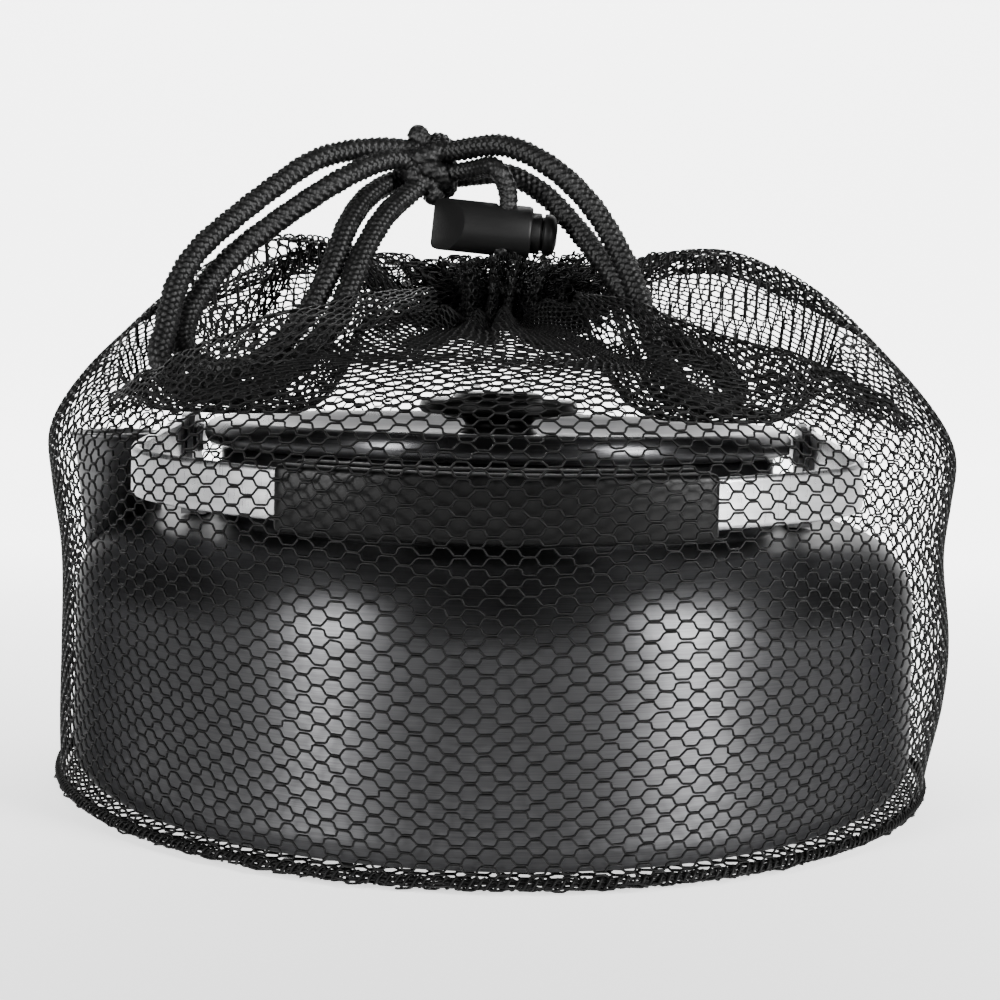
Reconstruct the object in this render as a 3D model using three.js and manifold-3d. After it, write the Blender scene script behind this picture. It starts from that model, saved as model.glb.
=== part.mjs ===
// A wide, low camping kettle with a bail handle, packed in a drawstring net bag with a barrel cord lock.
// Millimetres, +Z up. X runs from the spout (-X) to the other side, and the folded grip is at -Y.
// The origin is on the kettle's axis, on the surface that the bag stands on.
import * as THREE from "three";
import { mergeVertices } from "three/addons/utils/BufferGeometryUtils.js";
import Module from "manifold-3d";

const wasm = await Module();
wasm.setup();

// Driving dimensions
const GAP = 0.3; // between pieces that touch
const ROUND = 44; // segments round the large turned parts
const NET = 1.2; // thickness of the bag's bottom panel
const BODY_R = 87.5;
const SHEET = 1.4; // aluminium wall
const FLOOR_Z = NET + GAP;
const SHOULDER_Z = 52;
const NECK_R = 58.8;
const NECK_Z = 66.9;
const LID_R = 62.3;
const KNOB_R = 17;
const PIVOT_X = 67.2; // middle of the bail strip's arm
const PIVOT_Z = 68;
const STRIP = { thick: 1.5, tall: 9, corner: 25, front: 88 };
const BAIL_TILT = 3.6; // degrees that the folded grip hangs below the pivots
const GRIP = { half: 23.3, tall: 11.6, inner: 83.0, outer: 93.2 };
const SCREW_ANGLE = 15; // degrees from the grip's middle to each screw
const CORD_D = 4.6;
const LOCK = { x: 0.4, y: -10, z: 113.2, tilt: 4.7, r: 5.5, left: 15.4, right: 5.6 };
const HEM_TOP = 106;

const deg = THREE.MathUtils.degToRad;

const material = (color, roughness, metalness) =>
  new THREE.MeshStandardMaterial({ color, roughness, metalness });
const anodised = material(0x4a4b4d, 0.42, 0.85);
const lidMetal = material(0x55565a, 0.36, 0.85);
const steel = material(0xc9cacc, 0.25, 1);
const rivetMetal = material(0xa9aaac, 0.35, 1);
const blackPlastic = material(0x131314, 0.5, 0);
const netFabric = material(0x101011, 0.8, 0);
const cordFabric = material(0x0c0c0d, 0.85, 0);

// Booleans
function solidOf(geometry) {
  const bare = geometry.clone();
  bare.deleteAttribute("normal");
  bare.deleteAttribute("uv");
  const merged = mergeVertices(bare, 1e-4);
  return new wasm.Manifold(
    new wasm.Mesh({
      numProp: 3,
      vertProperties: merged.attributes.position.array,
      triVerts: new Uint32Array(merged.index.array),
    }),
  );
}

function geometryOf(solid) {
  const mesh = solid.getMesh();
  const geometry = new THREE.BufferGeometry();
  geometry.setAttribute("position", new THREE.BufferAttribute(mesh.vertProperties, 3));
  geometry.setIndex(new THREE.BufferAttribute(mesh.triVerts, 1));
  geometry.computeVertexNormals();
  return geometry;
}

const cut = (from, ...tools) =>
  geometryOf(tools.reduce((solid, tool) => solid.subtract(solidOf(tool)), solidOf(from)));
const join = (first, ...others) =>
  geometryOf(others.reduce((solid, other) => solid.add(solidOf(other)), solidOf(first)));

// A turned shape from [radius, height] points in either order. A profile off the axis is closed on itself.
function turned(profile, segments = ROUND) {
  const points = profile.map(([r, z]) => new THREE.Vector2(r, z));
  if (THREE.ShapeUtils.area(points) < 0) points.reverse();
  if (points[0].x > 0) points.push(points[0].clone());
  return new THREE.LatheGeometry(points, segments).rotateX(Math.PI / 2);
}

const rod = (r, from, to, segments = 16) =>
  new THREE.CylinderGeometry(r, r, to - from, segments)
    .rotateX(Math.PI / 2)
    .translate(0, 0, (from + to) / 2);
const block = (from, to) =>
  new THREE.BoxGeometry(...to.map((v, i) => v - from[i])).translate(
    ...to.map((v, i) => (v + from[i]) / 2),
  );
// From a shape's own XY plane and thickness to the plane x = at, with the thickness along +X.
const toSidePlane = (geometry, at) =>
  geometry.applyMatrix4(
    new THREE.Matrix4().set(0, 0, 1, at, 1, 0, 0, 0, 0, 1, 0, 0, 0, 0, 0, 1),
  );

const part = new THREE.Group();
function add(parent, name, geometry, finish) {
  const mesh = new THREE.Mesh(geometry, finish);
  mesh.name = name;
  parent.add(mesh);
  return mesh;
}

// Kettle body: a deep-drawn pan with a rounded foot, a rounded shoulder and a raised neck.
const quarter = (cx, cz, r, from, to, steps) =>
  Array.from({ length: steps + 1 }, (_, i) => {
    const a = deg(from + ((to - from) * i) / steps);
    return [cx + r * Math.cos(a), cz + r * Math.sin(a)];
  });
const FOOT_FILLET = 6;
const SHOULDER_FILLET = 14;

function bodyOutside(grow) {
  const r = BODY_R + grow;
  const low = FLOOR_Z - grow;
  const high = SHOULDER_Z + grow;
  return [
    ...quarter(BODY_R - FOOT_FILLET, FLOOR_Z + FOOT_FILLET, FOOT_FILLET + grow, -90, 0, 4),
    ...quarter(r - SHOULDER_FILLET - grow, high - SHOULDER_FILLET - grow, SHOULDER_FILLET + grow, 0, 90, 5),
    [NECK_R + 2.4 + grow, high],
    [NECK_R + 0.6 + grow, high + 0.8],
    [NECK_R + grow, high + 2.6],
  ].map(([x, z]) => [x, Math.max(z, low)]);
}

const SPOUT = { x: -79.6, z: 40, top: 68.6, lean: 0.1, narrow: 0.86, wide: 1.3, foot: 9, mouth: 10, wall: 1.2 };
const leaning = new THREE.Matrix4().set(
  SPOUT.narrow, 0, -SPOUT.lean, SPOUT.x + SPOUT.lean * SPOUT.z,
  0, SPOUT.wide, 0, 0,
  0, 0, 1, 0,
  0, 0, 0, 1,
);

const RIVET_Y = 7.6;
const RIVET_X = 63.2;
const rivetSpots = [-1, 1].flatMap((side) => [-1, 1].map((end) => [side, end]));
const rivetHole = ([side, end]) =>
  rod(1.75, SHOULDER_Z - 6, SHOULDER_Z + 6, 12).translate(side * RIVET_X, end * RIVET_Y, 0);

function kettleBody() {
  const inside = BODY_R - SHEET;
  const shell = turned([
    [0, FLOOR_Z],
    ...bodyOutside(0),
    [NECK_R, NECK_Z],
    [NECK_R - SHEET, NECK_Z],
    [NECK_R - SHEET, SHOULDER_Z + 1.8],
    [NECK_R - 0.4, SHOULDER_Z - SHEET],
    ...quarter(inside - 12.6, SHOULDER_Z - SHEET - 12.6, 12.6, 90, 0, 4),
    ...quarter(BODY_R - FOOT_FILLET, FLOOR_Z + FOOT_FILLET, FOOT_FILLET - SHEET, 0, -90, 3),
    [0, FLOOR_Z + SHEET],
  ]);
  const pourHole = rod(6.4, SPOUT.z + 2, SPOUT.top, 20).applyMatrix4(leaning);
  return cut(shell, pourHole, ...rivetSpots.map(rivetHole));
}

function spout() {
  const tube = turned(
    [
      [SPOUT.foot - SPOUT.wall, SPOUT.z],
      [SPOUT.foot, SPOUT.z],
      [SPOUT.mouth, SPOUT.top - 0.8],
      [SPOUT.mouth + 0.5, SPOUT.top],
      [SPOUT.mouth - SPOUT.wall, SPOUT.top],
    ],
    28,
  ).applyMatrix4(leaning);
  const room = turned([[0, FLOOR_Z], ...bodyOutside(GAP), [0, SHOULDER_Z + 2.6 + GAP]]);
  return cut(tube, room);
}

// Brackets: an upright tab with a riveted foot, and a small stop under each side of the arm.
const TAB = { inner: PIVOT_X - 2.35, thick: 1.2, half: 5.6, foot: 11 };

function bracket(side) {
  const outline = new THREE.Shape();
  outline.moveTo(-TAB.half, SHOULDER_Z + GAP);
  outline.lineTo(TAB.half, SHOULDER_Z + GAP);
  outline.lineTo(TAB.half, PIVOT_Z);
  outline.absarc(0, PIVOT_Z, TAB.half, 0, Math.PI, false);
  const tab = new THREE.ExtrudeGeometry(outline, {
    depth: TAB.thick,
    bevelEnabled: false,
    curveSegments: 10,
  });
  toSidePlane(tab, TAB.inner);
  const foot = block(
    [TAB.inner - 4, -TAB.foot, SHOULDER_Z + GAP],
    [TAB.inner + TAB.thick, TAB.foot, SHOULDER_Z + GAP + 1.2],
  );
  const stops = [-1, 1].map((end) => {
    const y = end * 4.6;
    return block(
      [TAB.inner + 0.4, y - 1, SHOULDER_Z + 7],
      [PIVOT_X + 0.75, y + 1, PIVOT_Z - STRIP.tall / 2 - 1],
    );
  });
  const pivotHole = rod(2.1, 0, 2 * PIVOT_X).rotateY(Math.PI / 2).translate(0, 0, PIVOT_Z);
  const made = cut(
    join(foot, tab, ...stops),
    pivotHole,
    ...rivetSpots.filter((spot) => spot[0] > 0).map(rivetHole),
  );
  return side > 0 ? made : made.rotateZ(Math.PI);
}

function footRivet(side, end) {
  const under = SHOULDER_Z - SHEET - GAP;
  const over = SHOULDER_Z + GAP + 1.2 + GAP;
  const profile = [
    [0, under - 0.9],
    [2.6, under - 0.9],
    [2.6, under],
    [1.5, under],
    [1.5, over],
    [2.1, over],
    [1.7, over + 1],
    [0, over + 1.3],
  ];
  return turned(profile, 12).translate(side * RIVET_X, end * RIVET_Y, 0);
}

function pivotRivet(side) {
  const profile = [
    [0, TAB.inner - 1.8],
    [2.9, TAB.inner - 1.6],
    [3.4, TAB.inner - GAP],
    [2, TAB.inner - GAP],
    [2, PIVOT_X + 0.75 + GAP],
    [3.6, PIVOT_X + 0.75 + GAP],
    [3.2, PIVOT_X + 1.9],
    [0, PIVOT_X + 2.2],
  ];
  return turned(profile, 16)
    .rotateY(Math.PI / 2)
    .rotateZ(side > 0 ? 0 : Math.PI)
    .translate(0, 0, PIVOT_Z);
}

add(part, "kettle_body", kettleBody(), anodised);
add(part, "spout", spout(), lidMetal);
for (const [side, word] of [[-1, "left"], [1, "right"]]) {
  add(part, "bracket_" + word, bracket(side), steel);
  add(part, "pivot_rivet_" + word, pivotRivet(side), rivetMetal);
  add(part, "bracket_rivet_" + word + "_front", footRivet(side, -1), rivetMetal);
  add(part, "bracket_rivet_" + word + "_back", footRivet(side, 1), rivetMetal);
}

// Bail: a flat strip bent to the kettle's plan, hinged on the two brackets, with a two-part grip.
const bail = new THREE.Group();
bail.position.z = PIVOT_Z;
bail.rotation.x = deg(BAIL_TILT);
part.add(bail);

// The strip's plan outline, offset outwards from its middle line, from the right arm's end to the left's.
function bailLine(offset) {
  const cornerX = PIVOT_X - STRIP.corner;
  const reach = STRIP.front - STRIP.corner;
  const cornerY = -Math.sqrt(reach ** 2 - cornerX ** 2);
  const turn = THREE.MathUtils.radToDeg(Math.atan2(cornerY, cornerX));
  const half = [
    [PIVOT_X + offset, 0],
    ...quarter(cornerX, cornerY, STRIP.corner + offset, 0, turn, 5),
    ...quarter(0, 0, STRIP.front + offset, turn, -90, 10).slice(1),
  ];
  const mirrored = half.slice(0, -1).map(([x, y]) => [-x, y]);
  return [...half, ...mirrored.reverse()];
}

const shapeOf = (points) => new THREE.Shape(points.map(([x, y]) => new THREE.Vector2(x, y)));

const screwHole = (r, from, to, side) =>
  rod(r, from, to, 12)
    .rotateX(Math.PI / 2)
    .rotateZ(deg(side * SCREW_ANGLE));

function handleStrip() {
  const half = STRIP.thick / 2;
  const outline = shapeOf([...bailLine(half), ...bailLine(-half).reverse()]);
  const strip = new THREE.ExtrudeGeometry(outline, { depth: STRIP.tall, bevelEnabled: false });
  strip.translate(0, 0, -STRIP.tall / 2);
  const eyes = [-1, 1].map((side) =>
    rod(5.2, -half, half, 24).rotateY(Math.PI / 2).translate(side * PIVOT_X, 0, 0),
  );
  const holes = [-1, 1].map((side) =>
    rod(2.1, -3, 3).rotateY(Math.PI / 2).translate(side * PIVOT_X, 0, 0),
  );
  const screws = [-1, 1].map((side) => screwHole(1.8, 80, 96, side));
  return cut(join(strip, ...eyes), ...holes, ...screws);
}

// One half of the grip: a bar bent to the strip's front, with its long edges chamfered.
function gripHalf(from, to, holeTo) {
  const edge = 0.9;
  const a = GRIP.half - 0.6;
  const outline = shapeOf([
    ...quarter(0, 0, to - edge, -90 - a, -90 + a, 10),
    ...quarter(0, 0, from + edge, -90 + a, -90 - a, 8),
  ]);
  const bar = new THREE.ExtrudeGeometry(outline, {
    depth: GRIP.tall - 2 * edge,
    bevelThickness: edge,
    bevelSize: edge,
    bevelSegments: 1,
  });
  bar.translate(0, 0, -GRIP.tall / 2 + edge);
  return cut(bar, ...[-1, 1].map((side) => screwHole(1.8, 78, holeTo, side)));
}

function gripScrew(side) {
  const profile = [
    [0, GRIP.inner - 1.9],
    [2.4, GRIP.inner - 1.7],
    [2.8, GRIP.inner - GAP],
    [1.5, GRIP.inner - GAP],
    [1.5, GRIP.outer - 2.6],
    [0, GRIP.outer - 2.2],
  ];
  return turned(profile, 12)
    .rotateX(Math.PI / 2)
    .rotateZ(deg(side * SCREW_ANGLE));
}

const stripOuter = STRIP.front + STRIP.thick / 2;
const stripInner = STRIP.front - STRIP.thick / 2;
add(bail, "handle_strip", handleStrip(), steel);
add(bail, "grip_outer", gripHalf(stripOuter + GAP, GRIP.outer, GRIP.outer - 1.6), blackPlastic);
add(bail, "grip_inner", gripHalf(GRIP.inner, stripInner - GAP, GRIP.outer), blackPlastic);
add(bail, "grip_screw_left", gripScrew(-1), rivetMetal);
add(bail, "grip_screw_right", gripScrew(1), rivetMetal);

// Lid: a dished plate with a rolled rim and a skirt that drops into the neck.
const LID_FLOOR = 68.6;
const SKIRT_R = NECK_R - SHEET - 0.6;

function lidShell() {
  return turned([
    [2.6, LID_FLOOR],
    [45, LID_FLOOR],
    [50, LID_FLOOR + 0.8],
    [54, 71.4],
    [57, 72.5],
    [60, 72.6],
    [61.8, 71.6],
    [LID_R, 69.9],
    [61.9, 68.2],
    [60.6, NECK_Z + GAP + 0.3],
    [SKIRT_R, NECK_Z + GAP + 0.3],
    [SKIRT_R, NECK_Z - 6],
    [SKIRT_R - 1.2, NECK_Z - 6],
    [SKIRT_R - 1.2, 67.6],
    [52.5, 67.9],
    [45, LID_FLOOR - SHEET],
    [2.6, LID_FLOOR - SHEET],
  ]);
}

function lidKnob() {
  const base = LID_FLOOR + GAP + 0.8 + GAP;
  const knob = turned(
    [
      [0, base],
      [8.6, base],
      [8.2, base + 0.8],
      [7.4, base + 2],
      [8.4, base + 3.4],
      [12.4, 74],
      [KNOB_R - 0.8, 74.4],
      [KNOB_R, 75.2],
      [KNOB_R, 76.6],
      [KNOB_R - 0.8, 77.4],
      [10.4, 77],
      [9.6, 78.2],
      [8, 79],
      [0, 79],
    ],
    32,
  );
  return cut(knob, rod(2.3, base - 1, 76, 12));
}

function knobScrew() {
  const under = LID_FLOOR - SHEET - GAP;
  const profile = [
    [0, under - 2.2],
    [3.6, under - 1.8],
    [4.4, under],
    [1.9, under],
    [1.9, 75.4],
    [0, 75.7],
  ];
  return turned(profile, 16);
}

const knobWasher = () =>
  turned(
    [
      [2.6, LID_FLOOR + GAP],
      [9.4, LID_FLOOR + GAP],
      [9.4, LID_FLOOR + GAP + 0.8],
      [2.6, LID_FLOOR + GAP + 0.8],
    ],
    24,
  );

add(part, "lid_shell", lidShell(), lidMetal);
add(part, "lid_knob", lidKnob(), blackPlastic);
add(part, "knob_screw", knobScrew(), rivetMetal);
add(part, "knob_washer", knobWasher(), steel);

// Net bag: a flat bottom, a bound seam, and one sheet of coarse hexagonal cells for the sides and dome.
const CELLS = 20; // cells round the bag
const ROWS = 6;
const BAR = 0.16; // half of a bar's width, as a share of the cell
const SKIN = 0.8;
const SEAM_TOP = 3.6;

// [radius, height] stations from the seam to the gathered neck, behind the lid and in front of it.
const backLine = [[90.4, 4.4], [91, 26], [91.6, 46], [94.2, 60], [93.4, 70], [88, 82], [76, 93], [62, 103],
  [47, 108.5], [32, 106], [21, 98], [17.4, 91.6]];
const frontLine = [[90.4, 4.4], [91, 26], [91.8, 46], [95.4, 58], [95.2, 68], [88.5, 77.5], [77, 84], [63, 89],
  [48, 93], [34, 96], [25, 96.5], [17.4, 91.6]];
const sideLine = [[90.4, 4.4], [91, 26], [91.8, 46], [92.6, 60], [92.4, 70], [87, 81], [76, 93], [62, 103],
  [47, 108.5], [32, 106], [21, 98], [17.4, 91.6]];
const curveOf = (line) =>
  new THREE.CatmullRomCurve3(line.map(([r, z]) => new THREE.Vector3(r, 0, z)), false, "centripetal");
const [backCurve, frontCurve, sideCurve] = [backLine, frontLine, sideLine].map(curveOf);
// The dome is pressed down where the cord loops lie on it: [x, y, radius of the hollow, its height].
const HOLLOWS = [[-51, -40, 20, 75.4], [41, -38, 18, 75.4]];

function bagPoint(turn, t) {
  const a = turn * 2 * Math.PI;
  const forward = -Math.sin(a);
  const side = sideCurve.getPointAt(t);
  const end = (forward > 0 ? frontCurve : backCurve).getPointAt(t);
  const p = side.lerp(end, THREE.MathUtils.smoothstep(Math.abs(forward), 0.15, 0.75));
  const at = new THREE.Vector3(p.x * Math.cos(a), p.x * Math.sin(a), p.z);
  for (const [x, y, r, z] of HOLLOWS) {
    const away = Math.max(0, Math.hypot(at.x - x, at.y - y) - r);
    if (p.z > z && p.x < 90) at.z = Math.min(at.z, z + 0.09 * away ** 2);
  }
  return at;
}

function bagSkin(turn, t, offset) {
  const step = 1e-3;
  const at = bagPoint(turn, t);
  const round = bagPoint(turn + step, t).sub(bagPoint(turn - step, t));
  const up = bagPoint(turn, Math.min(1, t + step)).sub(bagPoint(turn, Math.max(0, t - step)));
  return at.add(round.cross(up).normalize().multiplyScalar(offset));
}

// Hexagonal cells in a running bond, as a sheet with an opening in each cell.
function netSheet() {
  const corners = [];
  const triangles = [];
  const known = new Map();
  const low = 0.03;
  const high = 0.95;
  const rise = (high - low) / (ROWS + 1 / 3);
  const corner = (x, t, layer) => {
    const turn = (((x / CELLS) % 1) + 1) % 1;
    const key = [turn.toFixed(5), t.toFixed(5), layer].join(" ");
    if (!known.has(key)) {
      known.set(key, corners.length / 3);
      corners.push(...bagSkin(turn, t, layer ? SKIN / 2 : -SKIN / 2).toArray());
    }
    return known.get(key);
  };
  const face = (a, b, c, d) => triangles.push(a, b, c, a, c, d);
  // Both skins of a patch given by its four corners, anticlockwise from outside.
  const patch = (...four) => {
    face(...four.map(([x, t]) => corner(x, t, 1)));
    face(...four.map(([x, t]) => corner(x, t, 0)).reverse());
  };
  const wall = ([xa, ta], [xb, tb]) =>
    face(corner(xa, ta, 0), corner(xb, tb, 0), corner(xb, tb, 1), corner(xa, ta, 1));
  for (let row = 0; row < ROWS; row++) {
    for (let i = 0; i < CELLS; i++) {
      const x = i + (row % 2) / 2;
      const t = low + rise * row;
      const ring = [
        [x, t], [x + 0.5, t + rise / 3], [x + 0.5, t + rise],
        [x, t + (rise * 4) / 3], [x - 0.5, t + rise], [x - 0.5, t + rise / 3],
      ];
      const middle = t + (rise * 2) / 3;
      const hole = ring.map(([a, b]) => [x + (a - x) * (1 - 2 * BAR), middle + (b - middle) * (1 - 2 * BAR)]);
      ring.forEach((from, k) => {
        const next = (k + 1) % 6;
        patch(from, ring[next], hole[next], hole[k]);
        wall(hole[next], hole[k]);
      });
    }
  }
  // Plain bands close the zigzag ends.
  for (let i = 0; i < 2 * CELLS; i++) {
    const [a, b] = [i / 2, (i + 1) / 2];
    const bottom = (x) => (Math.round(2 * x) % 2 ? low + rise / 3 : low);
    patch([a, 0], [b, 0], [b, bottom(b)], [a, bottom(a)]);
    const last = low + rise * ROWS;
    const top = (x) => ((Math.round(2 * x) + ROWS) % 2 ? last + rise / 3 : last);
    patch([a, top(a)], [b, top(b)], [b, 1], [a, 1]);
    wall([a, 0], [b, 0]);
    wall([b, 1], [a, 1]);
  }
  const sheet = new THREE.BufferGeometry();
  sheet.setAttribute("position", new THREE.Float32BufferAttribute(corners, 3));
  sheet.setIndex(triangles);
  sheet.computeVertexNormals();
  return sheet;
}

// The gathered mouth: a fluted collar whose open channel holds the drawcord.
function mouthHem() {
  const base = 92.8;
  const channel = { inner: 8.2, outer: 13.6, floor: 98.2 };
  const collar = turned(
    [
      [5, base],
      [15.8, base],
      [15.2, 96],
      [15.4, 100],
      [17, 103.6],
      [17.6, HEM_TOP],
      [channel.outer, HEM_TOP],
      [channel.outer, channel.floor],
      [channel.inner, channel.floor],
      [channel.inner, HEM_TOP - 1],
      [5, HEM_TOP - 1],
    ],
    33,
  );
  const position = collar.attributes.position;
  for (let i = 0; i < position.count; i++) {
    const [x, y] = [position.getX(i), position.getY(i)];
    const r = Math.hypot(x, y);
    if (r < 15) continue;
    const flute = 1 + 0.035 * Math.cos(11 * Math.atan2(y, x));
    position.setXY(i, x * flute, y * flute);
  }
  return collar;
}

const HEM_X = 1.2;
add(part, "bag_bottom_net", rod(88.6, 0, NET, ROUND), netFabric);
add(
  part,
  "bag_bottom_seam",
  turned([[89.2, 0.4], [91, 0.6], [91.4, 2.2], [90.8, SEAM_TOP], [89.6, SEAM_TOP]]),
  netFabric,
);
add(part, "bag_side_net", netSheet(), netFabric);
const hem = new THREE.Group();
hem.position.x = HEM_X;
part.add(hem);
add(hem, "bag_mouth_hem", mouthHem(), netFabric);

// Cord lock: a barrel with a sprung plunger across the drawcord.
const lock = new THREE.Group();
lock.position.set(LOCK.x, LOCK.y, LOCK.z);
lock.rotation.y = deg(90 + LOCK.tilt);
part.add(lock);
const BORE_R = 4.5;
const BORE_END = -9;
const oblong = (halfX, halfY, height) => {
  const outline = new THREE.Shape();
  outline.absarc(0, halfY - halfX, halfX, 0, Math.PI, false);
  outline.absarc(0, halfX - halfY, halfX, Math.PI, 2 * Math.PI, false);
  const bar = new THREE.ExtrudeGeometry(outline, { depth: height, bevelEnabled: false, curveSegments: 6 });
  return bar.translate(0, 0, -height / 2);
};
// The cord's way through the lock, in the lock's own frame, where the barrel lies along Z.
const cordWay = (halfAlong, halfAcross) =>
  oblong(halfAlong, halfAcross, 20).rotateY(Math.PI / 2);

function lockBarrel() {
  const barrel = turned(
    [
      [0, -LOCK.left],
      [LOCK.r - 1, -LOCK.left],
      [LOCK.r, -LOCK.left + 1],
      [LOCK.r, LOCK.right - 0.6],
      [LOCK.r - 0.6, LOCK.right],
      [BORE_R, LOCK.right],
      [BORE_R, BORE_END + 1.2],
      [3.6, BORE_END],
      [0, BORE_END],
    ],
    24,
  );
  // The closed end is cut off on the slant, facing forwards.
  const slant = block([-8, -12, -30], [8, 12, 0]).rotateX(deg(-40)).translate(0, 0, -LOCK.left + 2.4);
  return cut(barrel, slant, cordWay(2.2, 3.7));
}

function lockPlunger() {
  const stem = BORE_R - 0.2;
  const plunger = turned(
    [
      [0, -4.6],
      [stem, -4.6],
      [stem, LOCK.right + 1.7],
      [stem - 0.7, LOCK.right + 2],
      [stem - 0.7, LOCK.right + 2.5],
      [stem, LOCK.right + 2.8],
      [stem - 0.3, LOCK.right + 4.3],
      [stem - 1.4, LOCK.right + 5],
      [0, LOCK.right + 5.4],
    ],
    24,
  );
  // The window clears the cord at both ends of the plunger's travel.
  const window = join(cordWay(2.2, 3.5), cordWay(2.2, 3.5).translate(0, 0, 1.5), cordWay(2.2, 3.5).translate(0, 0, 3));
  return cut(plunger, window);
}

function lockSpring() {
  const turns = 2.5;
  class Helix extends THREE.Curve {
    getPoint(t, target = new THREE.Vector3()) {
      const a = t * turns * 2 * Math.PI;
      return target.set(3.2 * Math.cos(a), 3.2 * Math.sin(a), BORE_END + 0.8 + 2.9 * t);
    }
  }
  const wire = new THREE.Shape().absarc(0, 0, 0.25, 0, 2 * Math.PI, false);
  return new THREE.ExtrudeGeometry(wire, {
    steps: 28,
    extrudePath: new Helix(),
    curveSegments: 3,
    bevelEnabled: false,
  });
}

add(lock, "cord_lock_barrel", lockBarrel(), blackPlastic);
add(lock, "cord_lock_plunger", lockPlunger(), blackPlastic);
add(lock, "cord_lock_spring", lockSpring(), steel);

// Drawcord: a ring in the hem, two legs up through the lock to a knot, and loops that leave the knot.
function cordTube(route, steps) {
  const curve = new THREE.CatmullRomCurve3(route.map((p) => new THREE.Vector3(...p)), false, "centripetal");
  const section = new THREE.Shape().absarc(0, 0, CORD_D / 2, 0, 2 * Math.PI, false);
  return new THREE.ExtrudeGeometry(section, {
    steps,
    extrudePath: curve,
    curveSegments: 4,
    bevelEnabled: false,
  });
}

const leftOuter = [[-22.8, 0, 131.2], [-33, -5, 129.8], [-39.8, -11, 126.8], [-46.3, -15, 121.6], [-54.5, -22, 113.5],
  [-60.1, -29, 106.6], [-63, -35, 99.6], [-63.6, -42, 90.8], [-63.6, -47, 84.9], [-59.7, -50, 80.3],
  [-52.6, -51, 78.9], [-45.5, -49, 79.4], [-37.8, -44, 84.9], [-32.4, -36, 92.8], [-29.6, -28, 101.3],
  [-27.6, -21, 108.5], [-24.4, -13, 115.6], [-21.4, -6.6, 119.6]];
const leftInner = [[-23.6, -5, 128.2], [-28, -9, 126.4], [-34.6, -15, 122], [-41.3, -17, 117.2], [-48, -19, 111.9],
  [-54.3, -22.5, 106], [-59.3, -28, 98.5], [-61.4, -34, 91.9], [-60.2, -40, 86.2], [-56.4, -43, 83.4],
  [-51, -43.4, 83], [-45.4, -41, 84.9], [-40.3, -36, 90.7], [-36.4, -30, 97.7], [-34, -24, 104.7],
  [-32.1, -16, 112.9], [-28.6, -5, 120.3], [-23.6, 2, 124.4]];
const rightLoop = [[-10.6, -3, 130.6], [0, -11, 130.8], [9.3, -17, 126.1], [17.3, -20, 118.6], [23.2, -24, 109.1],
  [27.6, -31, 97.8], [30.4, -39, 88], [34.5, -46, 80.8], [40.4, -47, 78.6], [44.9, -42, 80.3],
  [43.2, -35, 84.9], [37.4, -28, 89], [31.4, -22, 93.1], [26.7, -18, 98.3], [21.4, -13, 106.2],
  [15.4, -6, 114.5], [8.1, -1, 122.3], [0, 1, 126.3], [-9, 1.6, 125.6]];

function hemRing() {
  const ring = new THREE.TorusGeometry(10.9, CORD_D / 2, 8, 24);
  return ring.translate(0, 0, 101);
}

function legs() {
  const from = HEM_TOP + 0.6;
  const to = LOCK.z + LOCK.r + 5;
  const bar = oblong(1.8, 3.3, to - from).translate(0, 0, (from + to) / 2 - LOCK.z);
  return bar.rotateY(deg(LOCK.tilt)).translate(LOCK.x, LOCK.y, LOCK.z);
}

function knot() {
  const lump = (x, y, z, rx, ry, rz) => new THREE.SphereGeometry(1, 10, 8).scale(rx, ry, rz).translate(x, y, z);
  return join(
    lump(-16.8, 1, 130, 5, 5.3, 4.4),
    lump(-16.2, 1, 125.2, 4.9, 5.1, 4.2),
    lump(-19.2, 1, 134.4, 2.4, 2.4, 2.6),
    lump(-15.4, 1, 120.8, 2.3, 2.3, 2.4),
  );
}

add(part, "drawcord_left_outer", cordTube(leftOuter, 26), cordFabric);
add(part, "drawcord_left_inner", cordTube(leftInner, 24), cordFabric);
add(part, "drawcord_right", cordTube(rightLoop, 28), cordFabric);
add(part, "drawcord_through_lock", legs(), cordFabric);
add(hem, "drawcord_hem_ring", hemRing(), cordFabric);
add(part, "cord_knot", knot(), cordFabric);

export default part;
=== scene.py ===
"""A wide camping kettle packed in a hexagonal net bag. Metres, +Z up, spout at -X, folded grip at -Y."""
from math import atan2, cos, pi, radians, sin, sqrt

import bmesh
import bpy
import numpy as np
from mathutils import Euler, Matrix, Vector


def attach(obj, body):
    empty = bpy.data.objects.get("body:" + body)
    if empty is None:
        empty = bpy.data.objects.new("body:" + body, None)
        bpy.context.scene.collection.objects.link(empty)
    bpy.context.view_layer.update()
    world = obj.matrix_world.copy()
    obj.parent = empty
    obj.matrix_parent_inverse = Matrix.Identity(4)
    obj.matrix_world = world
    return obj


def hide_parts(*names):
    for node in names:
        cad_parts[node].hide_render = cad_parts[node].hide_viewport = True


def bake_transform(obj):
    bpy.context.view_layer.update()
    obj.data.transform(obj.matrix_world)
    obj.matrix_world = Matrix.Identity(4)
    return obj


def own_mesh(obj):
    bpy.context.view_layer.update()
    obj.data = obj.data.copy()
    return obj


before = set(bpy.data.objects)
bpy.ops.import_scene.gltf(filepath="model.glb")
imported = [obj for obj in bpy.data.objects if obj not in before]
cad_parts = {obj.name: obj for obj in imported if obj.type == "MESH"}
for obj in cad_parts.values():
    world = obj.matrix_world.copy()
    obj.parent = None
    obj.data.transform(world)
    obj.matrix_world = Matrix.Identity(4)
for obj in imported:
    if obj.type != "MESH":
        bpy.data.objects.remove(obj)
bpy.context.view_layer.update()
MM = 0.001

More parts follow.
